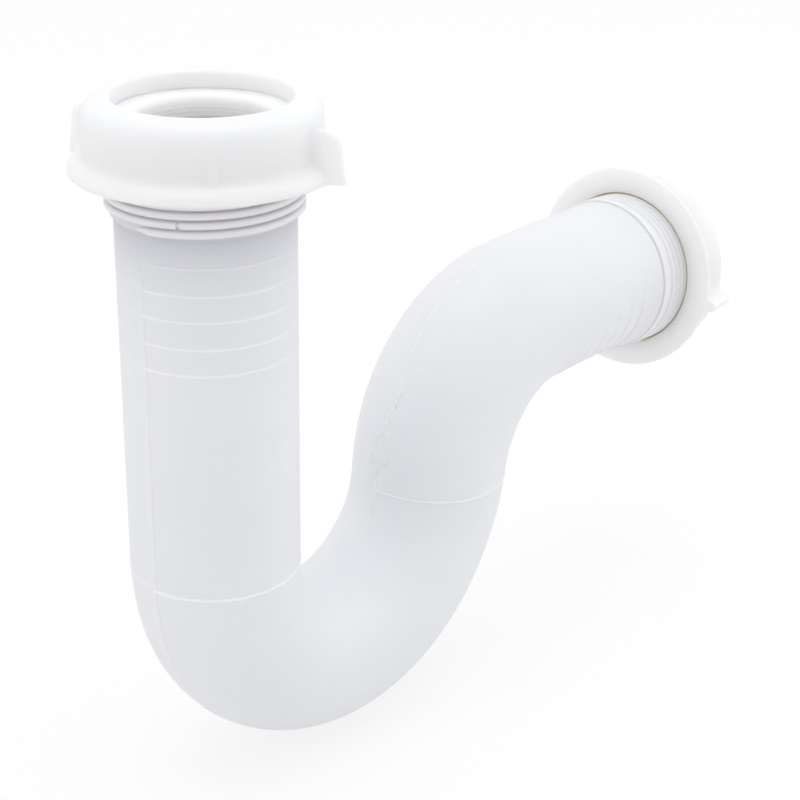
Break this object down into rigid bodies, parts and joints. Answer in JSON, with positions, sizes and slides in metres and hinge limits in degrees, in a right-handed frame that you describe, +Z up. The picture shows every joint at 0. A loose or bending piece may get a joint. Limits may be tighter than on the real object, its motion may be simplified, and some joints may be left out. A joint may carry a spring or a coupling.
{
  "type": "flexible p-trap",
  "caption": "One-piece soft moulded P-trap for a sink or basin waste, with a winged slip-joint nut and a reducing seal washer on each threaded end.",
  "frame": {"origin": "on the inlet axis at the mouth of the inlet collar, inside the bore of the inlet washer", "axes": "+Z up out of the inlet along its axis, +X from the inlet leg towards the outlet, the bends lie in the plane Y = 0"},
  "size_m": [0.2294, 0.0698, 0.1845],
  "materials": {
    "trap_vinyl": "satin white soft vinyl as moulded",
    "nut_plastic": "slightly translucent white, semi-gloss as moulded",
    "washer_plastic": "soft waxy off-white"
  },
  "bodies": {
    "trap": {"trap_body": "trap_vinyl"},
    "inlet_washer": {"inlet_washer": "washer_plastic"},
    "inlet_nut": {"inlet_nut": "nut_plastic"},
    "outlet_washer": {"outlet_washer": "washer_plastic"},
    "outlet_nut": {"outlet_nut": "nut_plastic"}
  },
  "joints": [
    {"name": "inlet_washer_travel", "type": "slide", "parent": "trap", "child": "inlet_washer", "axis": [0, 0, 1], "range_m": [0, 0.0089]},
    {"name": "inlet_nut_turn", "type": "hinge", "parent": "inlet_washer", "child": "inlet_nut", "pos_m": [0, 0, 0], "axis": [0, 0, 1], "range_deg": [0, 1440]},
    {"name": "outlet_washer_travel", "type": "slide", "parent": "trap", "child": "outlet_washer", "axis": [0.9986, 0, -0.0523], "range_m": [-0.00115, 0.0078]},
    {"name": "outlet_nut_turn", "type": "hinge", "parent": "outlet_washer", "child": "outlet_nut", "pos_m": [0.18892, 0, -0.08185], "axis": [0.9986, 0, -0.0523], "range_deg": [-180, 1260]}
  ],
  "couplings": [
    {"joint": "inlet_washer_travel", "follows": "inlet_nut_turn", "m_per_rad": 0.00035014},
    {"joint": "outlet_washer_travel", "follows": "outlet_nut_turn", "m_per_rad": 0.00035014}
  ]
}
